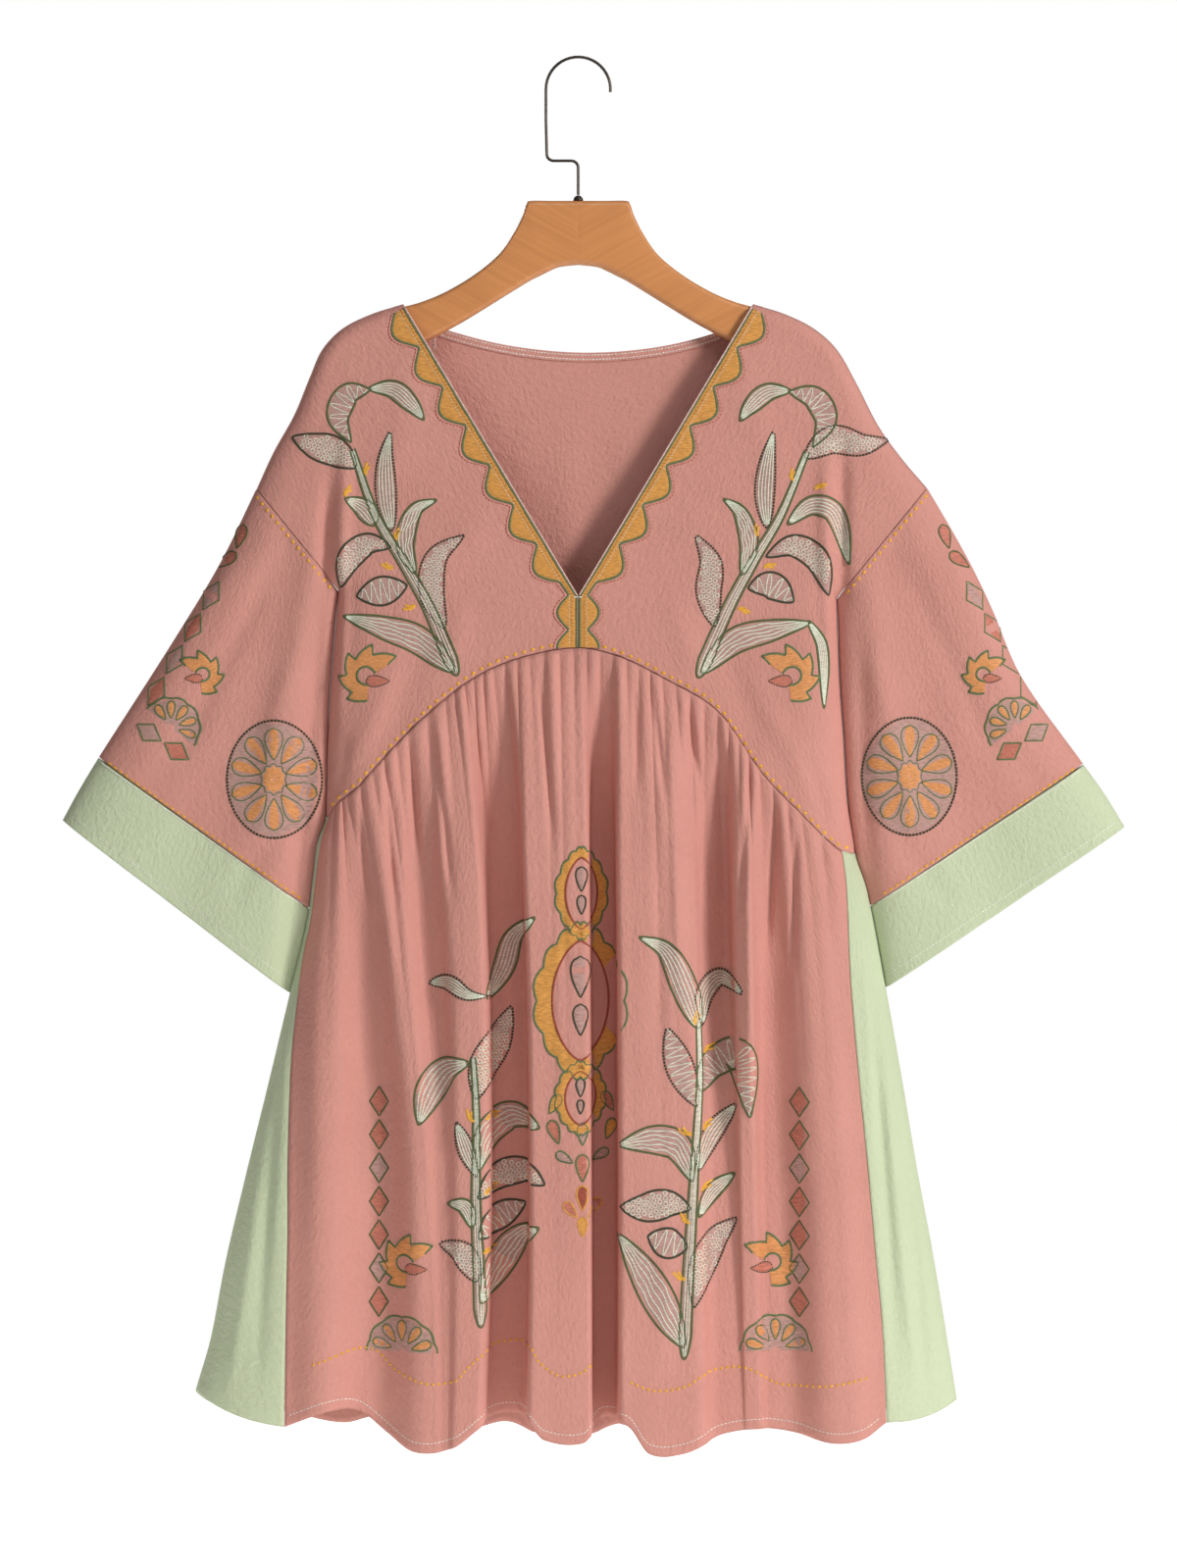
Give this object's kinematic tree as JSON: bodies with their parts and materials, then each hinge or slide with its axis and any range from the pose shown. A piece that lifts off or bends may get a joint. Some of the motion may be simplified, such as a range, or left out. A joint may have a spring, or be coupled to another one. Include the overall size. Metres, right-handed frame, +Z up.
{
  "type": "babydoll dress on a wooden hanger",
  "caption": "V-neck babydoll dress with a raised arched waist seam, gathered skirt, side gores and wide banded sleeves, hanging on a wooden hanger with a wire hook",
  "frame": {"origin": "Inside top of the wire hook, where a rail or nail would touch it.", "axes": "+Z is up. -Y is the dress's front. +X points to the viewer's right when the front is seen."},
  "size_m": [0.79, 0.1056, 1.0402],
  "materials": {
    "pink_cloth": "crinkled dusty pink cotton",
    "green_cloth": "crinkled sage green cotton",
    "hanger_wood": "varnished warm brown",
    "hook_steel": "dull grey-brown wire"
  },
  "bodies": {
    "root": {"front_bodice_left": "pink_cloth", "front_bodice_right": "pink_cloth", "back_bodice": "pink_cloth", "back_neck_binding": "pink_cloth", "sleeve_left": "pink_cloth", "sleeve_right": "pink_cloth", "cuff_left": "green_cloth", "cuff_right": "green_cloth", "front_skirt": "pink_cloth", "back_skirt": "pink_cloth", "side_gore_left": "green_cloth", "side_gore_right": "green_cloth", "hanger_left_half": "hanger_wood", "hanger_right_half": "hanger_wood", "hook_wire": "hook_steel", "hook_collar": "hook_steel"}
  },
  "joints": []
}
